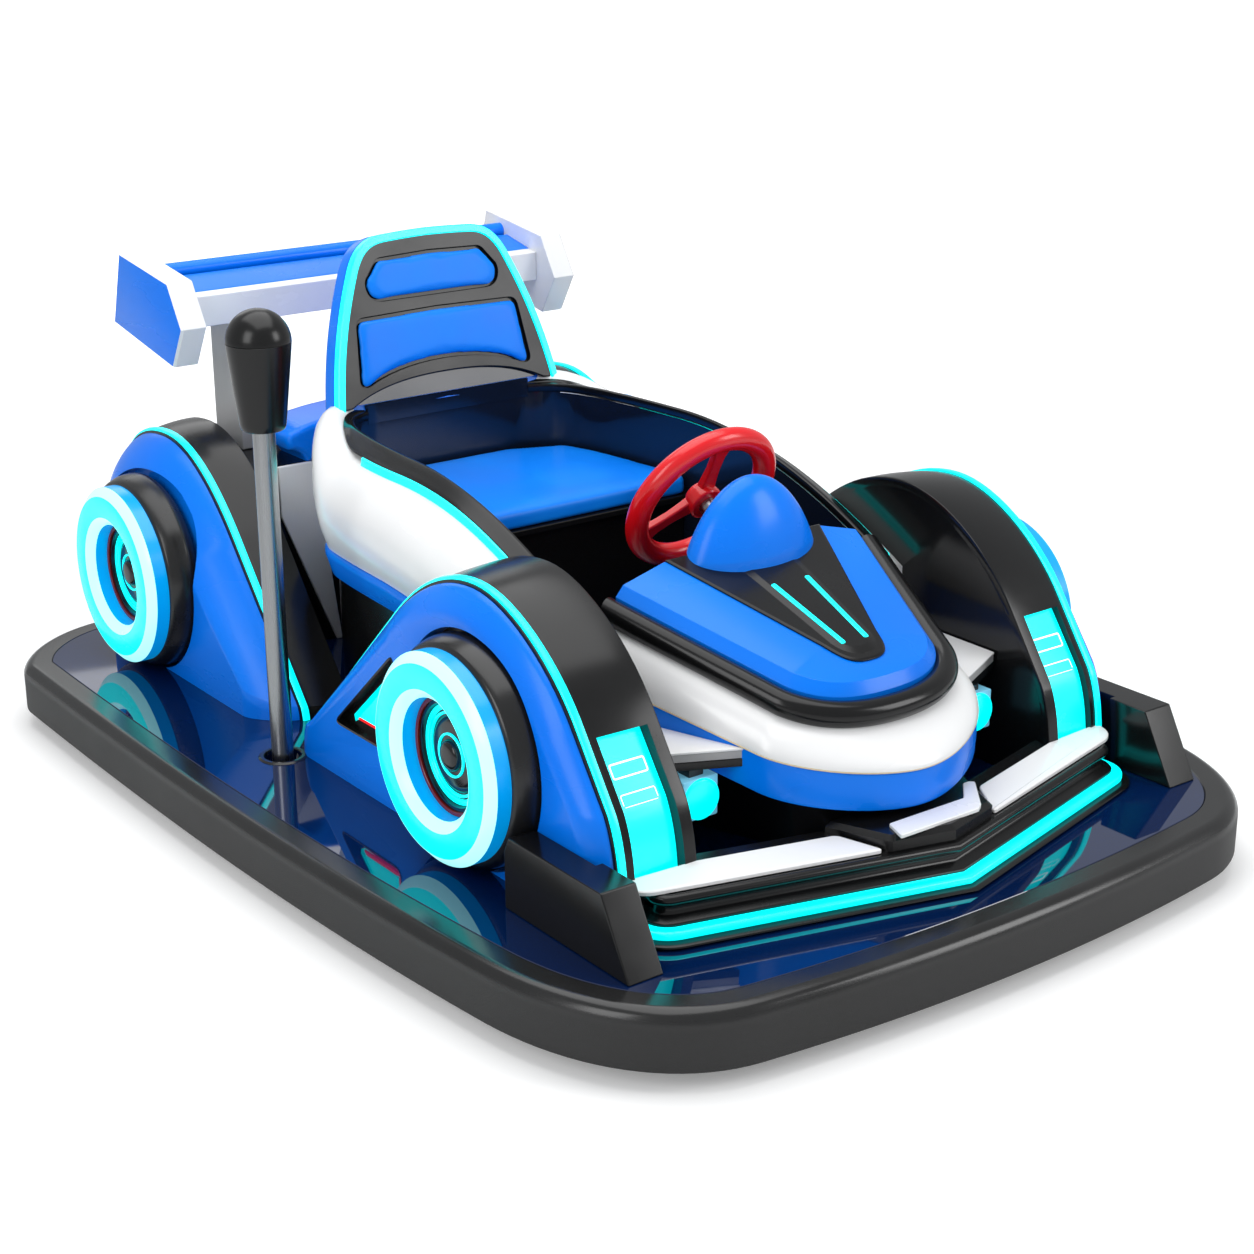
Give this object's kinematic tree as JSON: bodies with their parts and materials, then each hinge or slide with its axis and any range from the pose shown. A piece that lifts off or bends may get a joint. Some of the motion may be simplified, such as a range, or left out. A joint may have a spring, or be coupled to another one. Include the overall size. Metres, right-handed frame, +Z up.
{
  "type": "fairground bumper car",
  "caption": "Electric fairground bumper car with a rubber-ringed platform, open-wheel racer body, bench seat, steering wheel, hand lever and lit wheel rings.",
  "frame": {"origin": "on the floor under the middle of the platform", "axes": "+Y to the back of the car, -Y the way it drives, +X the driver's left, +Z up"},
  "size_m": [1.3, 1.8, 0.7753],
  "materials": {
    "bumper_rubber": "satin moulded rubber, glossy on its rounded top edge",
    "deck_gloss": "mirror gloss dark navy coating",
    "frame_steel": "black powder coat",
    "bright_steel": "brushed stainless steel",
    "shell_blue": "gloss gel coat",
    "shell_white": "gloss gel coat",
    "shell_black": "gloss gel coat",
    "light_cyan": "lit acrylic",
    "lamp_cyan": "lit acrylic lens",
    "wheel_red": "gloss moulded plastic",
    "seat_blue": "smooth coated upholstery",
    "post_grey": "satin grey paint",
    "tyre_rubber": "solid rubber tyre",
    "grip_black": "moulded plastic with a soft sheen"
  },
  "bodies": {
    "car": {"bumper_ring": "bumper_rubber", "deck_plate": "deck_gloss", "chassis_frame": "frame_steel", "rear_cross_member": "frame_steel", "rear_end_member": "frame_steel", "fender_front_left": "shell_blue", "wheel_light_front_left": "light_cyan", "fender_front_right": "shell_blue", "wheel_light_front_right": "light_cyan", "fender_rear_left": "shell_blue", "wheel_light_rear_left": "light_cyan", "fender_rear_right": "shell_blue", "wheel_light_rear_right": "light_cyan", "tub_shell": "shell_white", "tub_sill": "shell_blue", "cockpit_rim": "shell_black", "seat_base": "shell_black", "seat_bench": "seat_blue", "battery_pack": "frame_steel", "seat_pad_lower": "seat_blue", "seat_pad_upper": "seat_blue", "seatback_frame": "shell_black", "seatback_shell": "shell_blue", "nose_shell": "shell_white", "hood_bead": "shell_black", "nose_band": "shell_blue", "nose_base": "shell_black", "steering_column": "bright_steel", "hood_panel": "shell_blue", "hood_insert": "shell_black", "cowl_dome": "shell_blue", "drive_housing": "frame_steel", "rear_axle": "bright_steel", "front_wing": "shell_black", "splitter": "shell_black", "tail_housing": "shell_black", "rear_wing": "shell_blue", "lever_bracket": "frame_steel", "tail_cover": "shell_blue", "tail_panel_left": "shell_white", "tail_panel_right": "shell_white", "wing_cover_left": "shell_white", "front_end_plate_left": "shell_black", "nose_light_left": "lamp_cyan", "nose_plate_left": "shell_white", "rear_end_plate_left": "shell_white", "wing_post_left": "post_grey", "wing_cover_right": "shell_white", "front_end_plate_right": "shell_black", "nose_light_right": "lamp_cyan", "nose_plate_right": "shell_white", "rear_end_plate_right": "shell_white", "wing_post_right": "post_grey"},
    "steering": {"steering_wheel": "wheel_red"},
    "drive_unit": {"drive_yoke": "frame_steel"},
    "drive_wheel": {"drive_wheel": "tyre_rubber"},
    "rear_wheel_left": {"rear_wheel_left": "tyre_rubber"},
    "rear_wheel_right": {"rear_wheel_right": "tyre_rubber"},
    "hand_lever": {"lever_tube": "bright_steel", "lever_grip": "grip_black"}
  },
  "joints": [
    {"name": "steering_turn", "type": "hinge", "parent": "car", "child": "steering", "pos_m": [0, -0.248, 0.499], "axis": [0, 0.8805, 0.4741], "range_deg": [-180, 180]},
    {"name": "drive_swivel", "type": "hinge", "parent": "car", "child": "drive_unit", "pos_m": [0, -0.48, 0.1], "axis": [0, 0, 1], "range_deg": [-90, 90]},
    {"name": "drive_spin", "type": "hinge", "parent": "drive_unit", "child": "drive_wheel", "pos_m": [0, -0.48, 0.07], "axis": [1, 0, 0], "continuous": true},
    {"name": "rear_spin_left", "type": "hinge", "parent": "car", "child": "rear_wheel_left", "pos_m": [0.375, 0.45, 0.075], "axis": [1, 0, 0], "continuous": true},
    {"name": "rear_spin_right", "type": "hinge", "parent": "car", "child": "rear_wheel_right", "pos_m": [-0.375, 0.45, 0.075], "axis": [1, 0, 0], "continuous": true},
    {"name": "lever_tilt", "type": "hinge", "parent": "car", "child": "hand_lever", "pos_m": [-0.488, 0.12, 0.079], "axis": [1, 0, 0], "range_deg": [-10, 10], "stiffness_Nm_per_rad": 20}
  ],
  "couplings": [
    {"joint": "drive_swivel", "follows": "steering_turn", "ratio": 0.5}
  ]
}
